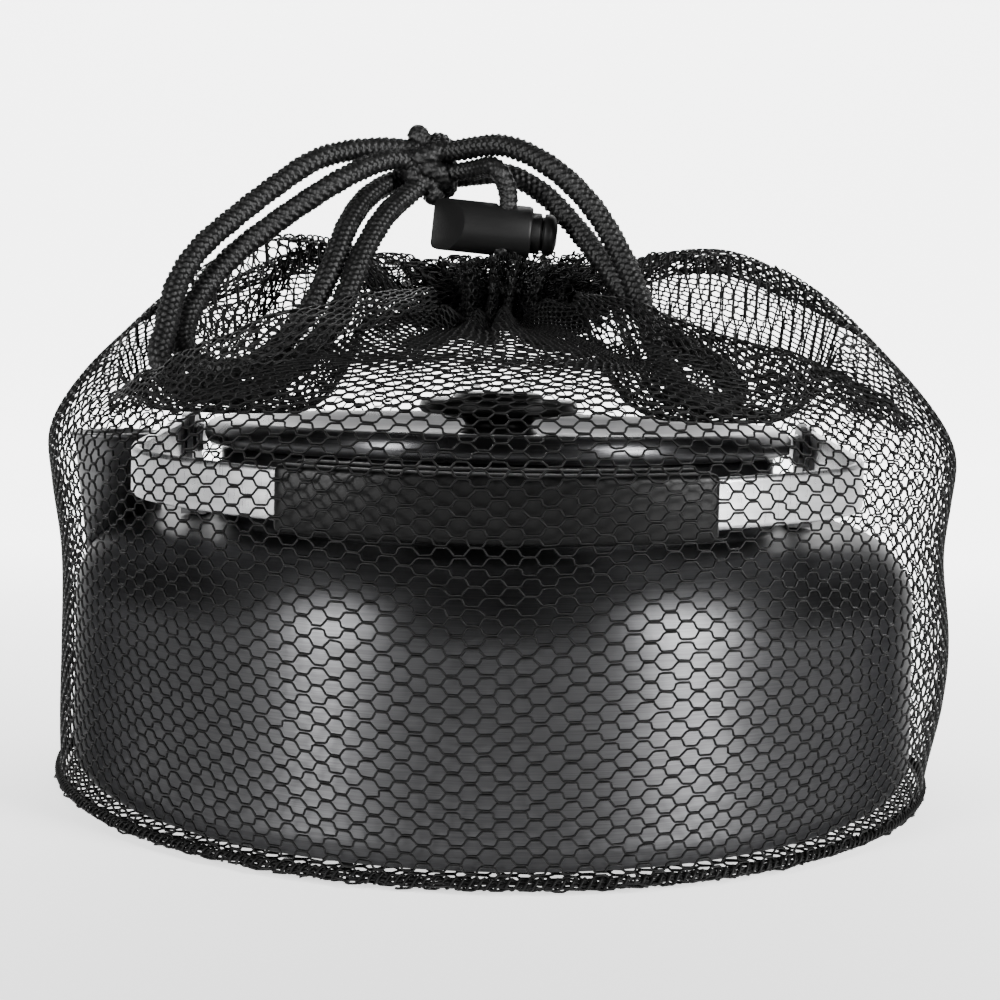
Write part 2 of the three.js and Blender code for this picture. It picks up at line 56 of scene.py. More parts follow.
# Driving sizes, in millimetres and degrees, the same as in the CAD
BODY_R = 87.5
FLOOR_Z = 1.5
FOOT = 6
SHEET = 1.4
SHOULDER_Z = 52
NECK_R = 58.8
NECK_Z = 66.9
LID_R = 62.3
LID_FLOOR = 68.6
KNOB_R = 17
PIVOT = (67.2, 0, 68)
BAIL_TILT = 3.6
STRIP_TALL = 9
CORD_D = 4.6
LOCK_AT = (0.4, -10, 113.2)
LOCK_TILT = 4.7
HEM_X = 1.2

# Camera and lights, in metres and degrees
CAMERA_AT = (0, -0.35, 0.087)
CAMERA_ROLL = 1.3
LIGHT_AWAY = 0.9  # how far each light stands from the object's middle
LIGHT_TALL = 0.9


# ---------------------------------------------------------------- camera, lights and stage

def make_camera():
    data = bpy.data.cameras.new("camera")
    data.lens = 58.3
    data.sensor_width = 36
    camera = bpy.data.objects.new("camera", data)
    bpy.context.scene.collection.objects.link(camera)
    data.shift_y = -0.145
    turn = Euler((radians(90), 0, 0)).to_matrix() @ Euler((0, 0, radians(CAMERA_ROLL))).to_matrix()
    camera.matrix_world = Matrix.Translation(CAMERA_AT) @ turn.to_4x4()
    bpy.context.scene.camera = camera


def area_light(name, at, aim, size, power):
    data = bpy.data.lights.new(name, "AREA")
    data.shape = "RECTANGLE"
    data.size, data.size_y = size
    data.energy = power
    light = bpy.data.objects.new(name, data)
    bpy.context.scene.collection.objects.link(light)
    light.location = at
    light.rotation_euler = (Vector(aim) - Vector(at)).to_track_quat("-Z", "Y").to_euler()


def make_lights():
    for name, azimuth, power, wide in (("key_left", -41, 23, 0.2), ("key_right", 49, 41, 0.25)):
        a = radians(azimuth)
        at = (LIGHT_AWAY * sin(a), -LIGHT_AWAY * cos(a), 0.14)
        area_light(name, at, (0, 0, 0.1), (wide, LIGHT_TALL), power)
    world = bpy.data.worlds.new("studio")
    world.use_nodes = True
    world.node_tree.nodes["Background"].inputs["Color"].default_value = (1, 1, 1, 1)
    world.node_tree.nodes["Background"].inputs["Strength"].default_value = 0.06
    bpy.context.scene.world = world


def make_stage():
    """A white floor that curves up into a white backdrop and glows, most in a wedge behind the object."""
    curve = [(1.0 + 0.6 * sin(a), 0.6 - 0.6 * cos(a)) for a in np.linspace(0.1, pi / 2, 12)]
    steps = [(-1.2, 0), (1.0, 0)] + curve + [(1.6, 2.4)]
    vertices = [(x, y, z) for y, z in steps for x in (-2.4, 2.4)]
    faces = [(2 * i, 2 * i + 1, 2 * i + 3, 2 * i + 2) for i in range(len(steps) - 1)]
    mesh = bpy.data.meshes.new("floor")
    mesh.from_pydata(vertices, [], faces)
    mesh.polygons.foreach_set("use_smooth", [True] * len(faces))
    floor = bpy.data.objects.new("floor", mesh)
    bpy.context.scene.collection.objects.link(floor)
    n = Nodes("floor_white")
    n.set(Base_Color=(0.85, 0.85, 0.85, 1), Roughness=0.9, Emission_Color=(1, 1, 1, 1))
    where = n.add("ShaderNodeSeparateXYZ")
    n.link(n.place(), where.inputs["Vector"])
    out = n.add("ShaderNodeMath", operation="ABSOLUTE")
    n.link(where.outputs["X"], out.inputs[0])
    behind = n.spread(where.outputs["Y"], 0.75, 4.2, (-0.15, 0.35))
    edge = n.add("ShaderNodeMath", operation="MULTIPLY_ADD")
    n.link(where.outputs["Y"], edge.inputs[0])
    edge.inputs[1].default_value = -0.32
    n.link(out.outputs[0], edge.inputs[2])
    centre = n.spread(edge.outputs[0], 1.0, 0.3, (0.14, 0.6))
    glow = n.add("ShaderNodeMath", operation="MULTIPLY")
    n.link(behind, glow.inputs[0])
    n.link(centre, glow.inputs[1])
    n.link(glow.outputs[0], n.shader.inputs["Emission Strength"])
    mesh.materials.append(n.material)


# ---------------------------------------------------------------- materials

class Nodes:
    """A new material's node tree, with short calls for the nodes that the materials here share."""

    def __init__(self, name):
        self.material = bpy.data.materials.new(name)
        self.material.use_nodes = True
        self.tree = self.material.node_tree
        self.shader = self.tree.nodes["Principled BSDF"]

    def add(self, kind, **settings):
        node = self.tree.nodes.new(kind)
        for key, value in settings.items():
            setattr(node, key, value)
        return node

    def link(self, a, b):
        self.tree.links.new(a, b)

    def set(self, **values):
        for key, value in values.items():
            self.shader.inputs[key.replace("_", " ")].default_value = value

    def place(self, scale=(1, 1, 1)):
        """Object coordinates in metres, scaled."""
        where = self.add("ShaderNodeTexCoord")
        scaled = self.add("ShaderNodeMapping")
        scaled.inputs["Scale"].default_value = scale
        self.link(where.outputs["Object"], scaled.inputs["Vector"])
        return scaled.outputs["Vector"]

    def noise(self, vector, scale, detail):
        node = self.add("ShaderNodeTexNoise")
        node.inputs["Scale"].default_value = scale
        node.inputs["Detail"].default_value = detail
        self.link(vector, node.inputs["Vector"])
        return node.outputs["Fac"]

    def spread(self, factor, low, high, middle=(0.3, 0.7)):
        """factor moved from its middle part to the range low to high."""
        node = self.add("ShaderNodeMapRange")
        node.inputs["From Min"].default_value, node.inputs["From Max"].default_value = middle
        node.inputs["To Min"].default_value, node.inputs["To Max"].default_value = low, high
        self.link(factor, node.inputs["Value"])
        return node.outputs["Result"]

    def mix(self, factor, a, b):
        node = self.add("ShaderNodeMix", data_type="RGBA")
        node.inputs["A"].default_value = (*a, 1)
        node.inputs["B"].default_value = (*b, 1)
        self.link(factor, node.inputs["Factor"])
        return node.outputs["Result"]

    def bump(self, height, distance, strength):
        node = self.add("ShaderNodeBump")
        node.inputs["Distance"].default_value = distance
        node.inputs["Strength"].default_value = strength
        self.link(height, node.inputs["Height"])
        self.link(node.outputs["Normal"], self.shader.inputs["Normal"])


def turned_metal(name, dark, light, roughness, edge):
    """Anodised aluminium with fine lines round its axis."""
    n = Nodes(name)
    lines = n.noise(n.place((0.02, 0.02, 1)), 5200, 2)
    cloud = n.noise(n.place(), 45, 4)
    n.link(n.mix(n.spread(lines, 0, 1), dark, light), n.shader.inputs["Base Color"])
    n.link(n.spread(cloud, roughness - 0.04, roughness + 0.05), n.shader.inputs["Roughness"])
    n.bump(lines, 0.00002, 0.5)
    round_axis = n.add("ShaderNodeTangent", direction_type="RADIAL", axis="Z")
    n.link(round_axis.outputs["Tangent"], n.shader.inputs["Tangent"])
    n.set(Metallic=1.0, Anisotropic=0.75, Anisotropic_Rotation=0.25, Specular_Tint=(edge, edge, edge, 1))
    return n.material


def polished_steel(name, roughness, shade=0.46):
    """Metal with fine level streaks, shade being how light it is."""
    n = Nodes(name)
    scratches = n.noise(n.place((1, 1, 0.03)), 3500, 2)
    streaks = n.noise(n.place((0.05, 0.05, 1)), 700, 4)
    low, high = shade * 0.82, shade * 1.14
    colour = n.mix(n.spread(streaks, 0, 1), (low, low, low * 1.02), (high, high, high * 1.02))
    n.link(colour, n.shader.inputs["Base Color"])
    n.link(n.spread(scratches, roughness - 0.05, roughness + 0.08), n.shader.inputs["Roughness"])
    n.bump(scratches, 0.00001, 0.4)
    n.set(Metallic=1.0)
    return n.material


def black_plastic(name, roughness, tone):
    n = Nodes(name)
    grain = n.noise(n.place(), 2600, 3)
    cloud = n.noise(n.place(), 90, 4)
    n.link(n.mix(n.spread(cloud, 0, 1), (tone,) * 3, (tone * 1.7,) * 3), n.shader.inputs["Base Color"])
    n.link(n.spread(grain, roughness - 0.06, roughness + 0.08), n.shader.inputs["Roughness"])
    n.bump(grain, 0.00004, 0.5)
    n.set(Specular_IOR_Level=0.12)
    return n.material


def black_fibre(name, tone, roughness):
    n = Nodes(name)
    fibres = n.noise(n.place(), 3000, 4)
    n.link(n.mix(n.spread(fibres, 0, 1), (tone * 0.5,) * 3, (tone * 2,) * 3), n.shader.inputs["Base Color"])
    n.bump(fibres, 0.00008, 0.7)
    n.set(Roughness=roughness, Specular_IOR_Level=0.22)
    return n.material


def net_fibre():
    """The thread's own material has no pattern: its detail is in the mesh."""
    n = Nodes("net_thread")
    n.set(Base_Color=(0.004, 0.004, 0.004, 1), Roughness=0.5, Specular_IOR_Level=0.1)
    return n.material


# ---------------------------------------------------------------- mesh helpers

def mesh_object(name, vertices, faces, material):
    """A new piece from points in millimetres."""
    mesh = bpy.data.meshes.new(name)
    if isinstance(faces, list):
        mesh.from_pydata([tuple(np.array(v) * MM) for v in vertices], [], faces)
    else:
        faces = np.asarray(faces, dtype=np.int32)
        points = np.asarray(vertices, dtype=np.float32) * MM
        corners = faces.shape[1]
        mesh.vertices.add(len(points))
        mesh.vertices.foreach_set("co", points.ravel())
        mesh.loops.add(faces.size)
        mesh.loops.foreach_set("vertex_index", faces.ravel())
        mesh.polygons.add(len(faces))
        mesh.polygons.foreach_set("loop_start", np.arange(0, faces.size, corners, dtype=np.int32))
        mesh.update(calc_edges=True)
        mesh.validate()
    mesh.polygons.foreach_set("use_smooth", [True] * len(mesh.polygons))
    mesh.materials.append(material)
    piece = bpy.data.objects.new(name, mesh)
    bpy.context.scene.collection.objects.link(piece)
    return piece


def place(piece, body, slot, *nodes):
    """Stands a piece in for CAD nodes, and lets it ride on a body."""
    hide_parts(*nodes)
    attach(piece, body)
    return piece


def place_soft(piece, slot, *nodes):
    """A piece of the net that stands in for CAD nodes, with its placing baked into its mesh."""
    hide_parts(*nodes)
    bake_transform(piece)
    return piece


def arc(cx, cz, r, start, end, steps=8):
    """Points on an arc, the angles in degrees."""
    return [(cx + r * cos(radians(a)), cz + r * sin(radians(a))) for a in np.linspace(start, end, steps + 1)]


def softened(points, radius, steps):
    """A closed outline with its corners rounded."""
    points = [np.array(p, float) for p in points]
    out = []
    for i, p in enumerate(points):
        before, after = points[i - 1] - p, points[(i + 1) % len(points)] - p
        cut = min(radius, 0.45 * np.linalg.norm(before), 0.45 * np.linalg.norm(after))
        a = p + before / max(np.linalg.norm(before), 1e-9) * cut
        b = p + after / max(np.linalg.norm(after), 1e-9) * cut
        for t in np.linspace(0, 1, steps + 1):
            out.append(tuple((1 - t) ** 2 * a + 2 * t * (1 - t) * p + t**2 * b))
    return out


def bevelled(piece, width, angle):
    """Rounds those of a piece's edges that turn by more than an angle."""
    bevel = piece.modifiers.new("bevel", "BEVEL")
    bevel.width = width * MM
    bevel.segments = 3
    bevel.limit_method = "ANGLE"
    bevel.angle_limit = radians(angle)


def lathe_faces(rings, segments, closed):
    i, j = np.meshgrid(np.arange(rings if closed else rings - 1), np.arange(segments), indexing="ij")
    a, b = i * segments + j, i * segments + (j + 1) % segments
    c, d = ((i + 1) % rings) * segments + (j + 1) % segments, ((i + 1) % rings) * segments + j
    return np.stack([a, b, c, d], axis=-1).reshape(-1, 4)


def tube_faces(rings, sides):
    """Faces that join an open row of rings, with one more face to close each end."""
    ends = [list(range(sides))[::-1], [(rings - 1) * sides + k for k in range(sides)]]
    return lathe_faces(rings, sides, False).tolist() + ends


def turned_points(outline, segments):
    outline = np.asarray(outline, float)
    angle = np.linspace(0, 2 * pi, segments, endpoint=False)
    return np.stack(
        [
            outline[:, :1] * np.cos(angle),
            outline[:, :1] * np.sin(angle),
            np.repeat(outline[:, 1:], segments, axis=1),
        ],
        axis=-1,
    ).reshape(-1, 3)


def turned(name, outline, material, segments=160, matrix=None):
    """A turned piece from a closed [radius, height] outline, anticlockwise; radii of 0 make its ends."""
    outline = [(max(r, 0.02), z) for r, z in outline]
    points = turned_points(outline, segments)
    if matrix is not None:
        points = points @ np.array(matrix.to_3x3()).T + np.array(matrix.translation)
    return mesh_object(name, points, lathe_faces(len(outline), segments, True), material)


def smooth_line(points, per=8):
    """Centripetal Catmull-Rom points through a route."""
    p = np.array(points, float)
    p = np.vstack([2 * p[0] - p[1], p, 2 * p[-1] - p[-2]])
    out = []
    for i in range(1, len(p) - 2):
        q = p[i - 1:i + 3]
        k = np.concatenate([[0], np.cumsum(np.sqrt(np.linalg.norm(np.diff(q, axis=0), axis=1)) + 1e-9)])
        for t in np.linspace(k[1], k[2], per, endpoint=False):
            a = [((k[j + 1] - t) * q[j] + (t - k[j]) * q[j + 1]) / (k[j + 1] - k[j]) for j in range(3)]
            b = [((k[j + 2] - t) * a[j] + (t - k[j]) * a[j + 1]) / (k[j + 2] - k[j]) for j in range(2)]
            out.append(((k[2] - t) * b[0] + (t - k[1]) * b[1]) / (k[2] - k[1]))
    out.append(p[-2])
    return np.array(out)


def evenly(line, step):
    along = np.concatenate([[0], np.cumsum(np.linalg.norm(np.diff(line, axis=0), axis=1))])
    count = max(2, int(round(along[-1] / step)) + 1)
    at = np.linspace(0, along[-1], count)
    return np.stack([np.interp(at, along, line[:, k]) for k in range(3)], axis=1), along[-1]


def frames_along(line, closed):
    """Side and up directions that turn as little as they can along a line."""
    tangent = np.roll(line, -1, 0) - np.roll(line, 1, 0) if closed else np.gradient(line, axis=0)
    tangent /= np.linalg.norm(tangent, axis=1, keepdims=True)
    up = np.array([0, 0, 1.0]) if abs(tangent[0][2]) < 0.9 else np.array([0, 1.0, 0])
    sides = []
    side = np.cross(up, tangent[0])
    for t in tangent:
        side = side - t * side.dot(t)
        side /= np.linalg.norm(side)
        sides.append(side)
    sides = np.array(sides)
    return sides, np.cross(tangent, sides)


def braid_height(round_turn, along, strands=6, pitch=4.6):
    """Height of a braid's surface, 0 to 1, where strands cross over and under each other."""
    p = strands * round_turn + strands * along / (2 * pitch)
    q = strands * round_turn - strands * along / (2 * pitch)
    over = np.cos(pi * (p + q)) * np.cos(pi * (p - q))
    ridge_p = np.abs(np.sin(pi * p))
    ridge_q = np.abs(np.sin(pi * q))
    return np.where(over > 0, ridge_p * (0.55 + 0.45 * ridge_q), ridge_q * (0.55 + 0.45 * ridge_p))


def braided_tube(name, route, material, diameter=CORD_D, closed=False, sides=40, step=0.32):
    line, length = evenly(smooth_line(route) if not closed else np.array(route, float), step)
    if closed:
        line = line[:-1]
    side, up = frames_along(line, closed)
    turn = np.linspace(0, 1, sides, endpoint=False)
    along = np.linspace(0, length, len(line))[:, None]
    r = diameter / 2 * (0.8 + 0.28 * braid_height(turn[None, :], along))
    r = r * (1 + 0.02 * np.sin(along * 0.9) + 0.015 * np.sin(along * 2.3 + 6 * turn[None, :]))
    if not closed:
        tip = np.minimum(along, length - along) / (diameter / 2)
        r = r * np.sqrt(np.clip(1 - (1 - np.minimum(tip, 1)) ** 2, 0.03, 1))
    angle = 2 * pi * turn
    circle = np.cos(angle)[None, :, None] * side[:, None] + np.sin(angle)[None, :, None] * up[:, None]
    points = (line[:, None] + r[..., None] * circle).reshape(-1, 3)
    faces = lathe_faces(len(line), sides, True) if closed else tube_faces(len(line), sides)
    return mesh_object(name, points, faces, material), line, length


# ---------------------------------------------------------------- drawcord

LEFT_OUTER = [
    (-0.018, 0.0005, 0.1305), (-0.0245, -0.001, 0.131), (-0.033, -0.005, 0.1298),
    (-0.0398, -0.011, 0.1268), (-0.0463, -0.015, 0.1216), (-0.0545, -0.022, 0.1135),
    (-0.0601, -0.029, 0.1066), (-0.063, -0.035, 0.0996), (-0.0636, -0.042, 0.0908),
    (-0.0636, -0.047, 0.0849), (-0.0597, -0.05, 0.0803), (-0.0526, -0.051, 0.0789),
    (-0.0455, -0.049, 0.0794), (-0.0378, -0.044, 0.0849), (-0.0324, -0.036, 0.0928),
    (-0.0296, -0.028, 0.1013), (-0.0276, -0.021, 0.1085), (-0.0244, -0.013, 0.1156),
    (-0.0214, -0.0066, 0.1196), (-0.0175, -0.002, 0.1235),
]
LEFT_INNER = [
    (-0.0185, -0.001, 0.128), (-0.0236, -0.005, 0.1282), (-0.028, -0.009, 0.1264),
    (-0.0346, -0.015, 0.122), (-0.0413, -0.017, 0.1172), (-0.048, -0.019, 0.1119),
    (-0.0543, -0.0225, 0.106), (-0.0593, -0.028, 0.0985), (-0.0614, -0.034, 0.0919),
    (-0.0602, -0.04, 0.0862), (-0.0564, -0.043, 0.0834), (-0.051, -0.0434, 0.083),
    (-0.0454, -0.041, 0.0849), (-0.0403, -0.036, 0.0907), (-0.0364, -0.03, 0.0977),
    (-0.034, -0.024, 0.1047), (-0.0321, -0.016, 0.1129), (-0.0286, -0.005, 0.1203),
    (-0.0236, 0.002, 0.1244), (-0.0182, 0.003, 0.1268),
]
RIGHT_LOOP = [
    (-0.0155, -0.001, 0.1302), (-0.0106, -0.003, 0.1306), (0, -0.011, 0.1308),
    (0.0093, -0.017, 0.1261), (0.0173, -0.02, 0.1186), (0.0232, -0.024, 0.1091),
    (0.0276, -0.031, 0.0978), (0.0304, -0.039, 0.088), (0.0345, -0.046, 0.0808),
    (0.0404, -0.047, 0.0786), (0.0449, -0.042, 0.0803), (0.0432, -0.035, 0.0849),
    (0.0374, -0.028, 0.0889), (0.0314, -0.022, 0.0931), (0.0267, -0.018, 0.0983),
    (0.0214, -0.013, 0.1062), (0.0154, -0.006, 0.1145), (0.0081, -0.001, 0.1223),
    (0, 0.001, 0.1263), (-0.009, 0.0016, 0.1256), (-0.0145, 0.001, 0.1254),
]


def ring_route(centre, radius, tilt_x, tilt_y, steps=72):
    """A closed circle, level before it is tilted."""
    turn = Euler((radians(tilt_x), radians(tilt_y), 0)).to_matrix()
    angles = np.linspace(0, 2 * pi, steps + 1)
    ring = [turn @ Vector((radius * cos(a), radius * sin(a), 0)) + Vector(centre) for a in angles]
    return [tuple(p) for p in ring]


def make_knot(material):
    """The tied ends: wraps that cross each other round a thick core, with a tail above and below."""
    tail_low = [(-17.4, 2.6, 128), (-16.6, 0, 125.4), (-15.4, -1.4, 122.4), (-14.8, -1.6, 118.9)]
    tail_high = [(-15, 3.4, 126.4), (-16.4, 2, 130), (-18.4, 0.6, 133.4), (-19.6, 0.4, 136.3)]
    pieces = [
        braided_tube("knot_tail_low", tail_low, material)[0],
        braided_tube("knot_tail_high", tail_high, material)[0],
    ]
    wraps = (
        ("high", (-17.4, 0.4, 130.6), 4.1, 24, -22),
        ("low", (-16, 0.4, 124.8), 4, -24, 20),
        ("cross", (-16.6, -0.4, 127.6), 4.4, 62, 34),
    )
    core = [(-15.8, 0.4, 122.6), (-16.4, 0.6, 127.4), (-17.6, 0.6, 132.6)]
    pieces.append(braided_tube("knot_core", core, material, 8.6)[0])
    for word, centre, radius, tilt_x, tilt_y in wraps:
        route = ring_route(centre, radius, tilt_x, tilt_y)
        pieces.append(braided_tube("knot_wrap_" + word, route, material, CORD_D, True)[0])
    for piece in pieces:
        place(piece, "bag_top", "cord", "cord_knot")
    return pieces


def make_drawcord(material):
    legs = [
        [(-14.6, y, 125.2), (-7, y - 4, 126.4), (-1.6, -10 + across, 126), (0.9, -10 + across, 121),
         (LOCK_AT[0], -10 + across, LOCK_AT[2]), (-0.4, -10 + across, 107.2)]
        for y, across in ((-0.6, -1.75), (3.4, 1.75))
    ]
    leg_pieces = [
        braided_tube("drawcord_leg_" + word, route, material, 3.9)[0]
        for word, route in zip(("front", "back"), legs)
    ]
    ring = braided_tube("drawcord_ring", ring_route((HEM_X, 0, 101), 10.9, 0, 0), material, 4.4, True)[0]
    for piece in leg_pieces:
        place(piece, "bag_top", "cord", "drawcord_through_lock")
    place(ring, "bag_top", "cord", "drawcord_hem_ring")
    carried = [*make_knot(material), *leg_pieces, ring]
    loops = (("left_outer", LEFT_OUTER), ("left_inner", LEFT_INNER), ("right", RIGHT_LOOP))
    for word, route in loops:
        route_mm = [tuple(c / MM for c in point) for point in route]
        piece, line, length = braided_tube("drawcord_" + word + "_braid", route_mm, material)
        place(piece, "bag_top", "cord", "drawcord_" + word)
        path = line[:: max(1, len(line) // 60)] * MM
        path = np.vstack([path, line[-1:] * MM])


make_camera()
cord_black = black_fibre("cord_black", 0.0012, 0.5)
make_drawcord(cord_black)
make_lights()
make_stage()


# ---------------------------------------------------------------- kettle

WALL_FILLET = 14  # between the pan's wall and its shoulder


def body_outline():
    """The pan's wall as one closed [radius, height] outline."""
    outer = [(0, FLOOR_Z)] + arc(BODY_R - FOOT, FLOOR_Z + FOOT, FOOT, -90, 0)
    outer += arc(BODY_R - WALL_FILLET, SHOULDER_Z - WALL_FILLET, WALL_FILLET, 0, 90)
    outer += [(NECK_R + 2.6, SHOULDER_Z), (NECK_R + 1.2, SHOULDER_Z + 0.3), (NECK_R + 0.4, SHOULDER_Z + 1.1)]
    outer += [(NECK_R, SHOULDER_Z + 2.6), (NECK_R, NECK_Z - 0.5), (NECK_R - 0.5, NECK_Z)]
    r = BODY_R - SHEET
    inner = [(NECK_R - SHEET + 0.3, NECK_Z), (NECK_R - SHEET, NECK_Z - 0.4)]
    inner += [(NECK_R - SHEET, SHOULDER_Z + 1.8), (NECK_R - 0.4, SHOULDER_Z - SHEET)]
    inner += arc(r - 12.6, SHOULDER_Z - SHEET - 12.6, 12.6, 90, 0)  # the fillet inside
    inner += arc(BODY_R - FOOT, FLOOR_Z + FOOT, FOOT - SHEET, 0, -90) + [(0, FLOOR_Z + SHEET)]
    return outer + inner


def boolean_cut(piece, *tools):
    """Cuts tools out of piece and applies the result, then removes them."""
    for tool in tools:
        modifier = piece.modifiers.new("cut", "BOOLEAN")
        modifier.object = tool
        modifier.solver = "EXACT"
        bpy.context.view_layer.update()
        graph = bpy.context.evaluated_depsgraph_get()
        made = bpy.data.meshes.new_from_object(piece.evaluated_get(graph))
        piece.modifiers.clear()
        piece.data = made
        bpy.data.objects.remove(tool)


SPOUT = {"x": -79.6, "z": 40, "lean": 0.1, "narrow": 0.86, "wide": 1.3}


def leaning():
    s = SPOUT
    return Matrix((
        (s["narrow"], 0, -s["lean"], s["x"] + s["lean"] * s["z"]),
        (0, s["wide"], 0, 0),
        (0, 0, 1, 0),
        (0, 0, 0, 1),
    ))


def make_kettle(metal, tube_metal, steel, rivet):
    body = turned("kettle_body_shell", body_outline(), metal, 200)
    pour = turned("pour_tool", [(0, 43), (6.4, 43), (6.4, 66), (0, 66)], metal, 40, leaning())
    boolean_cut(body, pour)
    body.data.polygons.foreach_set("use_smooth", [True] * len(body.data.polygons))
    place(body, "kettle", "body_metal", "kettle_body")
    mouth = [(8.8, 68.1), (7.8, 46), (7.8, 40), (9.0, 40), (9.9, 66.8)]
    mouth += [(10.3, 67.7), (10.7, 68.4), (10.4, 68.7), (9.4, 68.7)]
    spout = turned("spout_tube", mouth, tube_metal, 72, leaning())
    room = [(0, FLOOR_Z)] + arc(BODY_R - FOOT, FLOOR_Z + FOOT, FOOT + 0.2, -90, 0)
    room += arc(BODY_R - WALL_FILLET, SHOULDER_Z - WALL_FILLET, WALL_FILLET + 0.2, 0, 90)
    room += [(0, SHOULDER_Z + 0.2)]
    boolean_cut(spout, turned("room_tool", room, metal, 160))
    place(spout, "kettle", "lid_metal", "spout")
    for node in ("bracket_left", "bracket_right"):
        repaint(node, tube_metal)
    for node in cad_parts:
        if "rivet" in node or "screw" in node:
            repaint(node, tube_metal if "bracket" in node else rivet)
    repaint("knob_washer", steel)


def repaint(node, material):
    """A CAD node that keeps its shape gets a better material."""
    for slot in bpy.data.objects[node].material_slots:
        slot.link = "OBJECT"
        slot.material = material


def lid_outline():
    skirt = NECK_R - SHEET - 0.6
    top = [
        (54, 71.4), (56, 72.2), (58, 72.6), (60, 72.6), (61.4, 72), (LID_R, 70.6), (LID_R, 69.2),
        (61.8, 68),
    ]
    under = [
        (61, 67.5), (skirt + 0.4, 67.5), (skirt, 67.1), (skirt, 61), (skirt - 0.5, 60.9),
        (skirt - 1.2, 61),
    ]
    inside = [
        (skirt - 1.2, 67.2), (52.5, 67.9), (45, LID_FLOOR - SHEET), (2.6, LID_FLOOR - SHEET),
        (2.6, LID_FLOOR),
    ]
    return (inside + [(44, LID_FLOOR), (47, LID_FLOOR + 0.2), (50, LID_FLOOR + 0.9)] + top + under)[::-1]


def knob_outline():
    base = LID_FLOOR + 1.4
    side = [
        (0, base), (8.4, base), (8.5, base + 0.4), (7.6, base + 1.3), (7.2, base + 2.2),
        (8, base + 3.2),
    ]
    disc = [
        (10.5, 73.6), (13.6, 74.15), (16.2, 74.3), (16.8, 74.7), (KNOB_R, 75.3), (KNOB_R, 76.4),
        (16.7, 77.1),
    ]
    top = [
        (16, 77.45), (14.5, 77.3), (11.6, 76.9), (10.3, 77), (9.9, 77.4), (9.5, 78.3),
        (8.6, 78.85), (7.4, 79), (0, 79),
    ]
    return side + disc + top


def make_lid(metal, plastic):
    shell = turned("lid_dish", lid_outline(), metal, 180)
    place(shell, "lid", "lid_metal", "lid_shell")
    knob = turned("lid_knob_moulding", knob_outline(), plastic, 96)
    place(knob, "lid", "knob_plastic", "lid_knob")


# ---------------------------------------------------------------- bail

BAIL = Matrix.Translation((0, 0, PIVOT[2])) @ Matrix.Rotation(radians(BAIL_TILT), 4, "X")


def bail_line():
    """The strip's middle line in plan, from the right pivot round the front to the left one."""
    corner, front = 25, 88
    cx = PIVOT[0] - corner
    cy = -sqrt((front - corner) ** 2 - cx**2)
    turn = atan2(cy, cx) * 180 / pi
    right = [(PIVOT[0], y) for y in np.linspace(0, cy, 12)[:-1]]
    right += arc(cx, cy, corner, 0, turn, 14)[:-1] + arc(0, 0, front, turn, -90, 45)
    return right + [(-x, y) for x, y in right[:-1][::-1]]


def strip_section():
    """Half-round edges and two raised beads along a thin strip: (outward, up)."""
    half = STRIP_TALL / 2
    outer = [(0.75 + 0.16 * max(0, cos((z / half) * 2.0 * pi)) * (0.25 < abs(z) / half < 0.75), z)
             for z in np.linspace(-half + 0.6, half - 0.6, 25)]
    inner = [(-x, z) for x, z in outer[::-1]]
    return [(0.4, -half + 0.1), *outer, (0.4, half - 0.1), (0, half), (-0.4, half - 0.1), *inner,
            (-0.4, -half + 0.1), (0, -half)]


def swept_flat(name, line, section, material, matrix):
    """A section swept along a level line, with closed ends."""
    line = np.array([(x, y, 0) for x, y in line], float)
    tangent = np.gradient(line, axis=0)
    tangent /= np.linalg.norm(tangent, axis=1, keepdims=True)
    outward = np.cross(tangent, [0, 0, 1.0])
    outward *= np.sign((outward * (line + [0, 1, 0])).sum(1).mean())
    section = np.array(section)
    raised = section[None, :, 1:] * np.array([0, 0, 1.0])
    points = line[:, None] + section[None, :, :1] * outward[:, None] + raised
    count = len(section)
    points = points.reshape(-1, 3) @ np.array(matrix.to_3x3()).T + np.array(matrix.translation)
    return mesh_object(name, points, tube_faces(len(line), count), material)


def make_bail(steel, plastic):
    strip = swept_flat("handle_band", bail_line(), strip_section(), steel, BAIL)
    place(strip, "handle", "steel", "handle_strip")
    washer = softened([(2.1, -0.8), (5.2, -0.8), (5.2, 0.8), (2.1, 0.8)], 0.4, 3)
    for side, word in ((-1, "left"), (1, "right")):
        pivot = BAIL @ Matrix.Translation((side * PIVOT[0], 0, 0)) @ Matrix.Rotation(pi / 2, 4, "Y")
        eye = turned("handle_eye_" + word, washer, steel, 48, pivot)
        place(eye, "handle", "steel", "handle_strip")
    for node, low, high in (("grip_outer", 89.05, 93.2), ("grip_inner", 83.0, 86.95)):
        half_tall, half_angle = 5.8, 23.3
        angles = [-90 + a for a in np.linspace(-half_angle, half_angle, 40)]
        line = [((low + high) / 2 * cos(radians(a)), (low + high) / 2 * sin(radians(a))) for a in angles]
        half = (high - low) / 2
        corners = [(-half, -half_tall), (half, -half_tall), (half, half_tall), (-half, half_tall)]
        grip = swept_flat(node + "_moulding", line, softened(corners, 1.5, 4), plastic, BAIL)
        bevelled(grip, 1.3, 50)
        place(grip, "handle", "grip_plastic", node)


# ---------------------------------------------------------------- cord lock

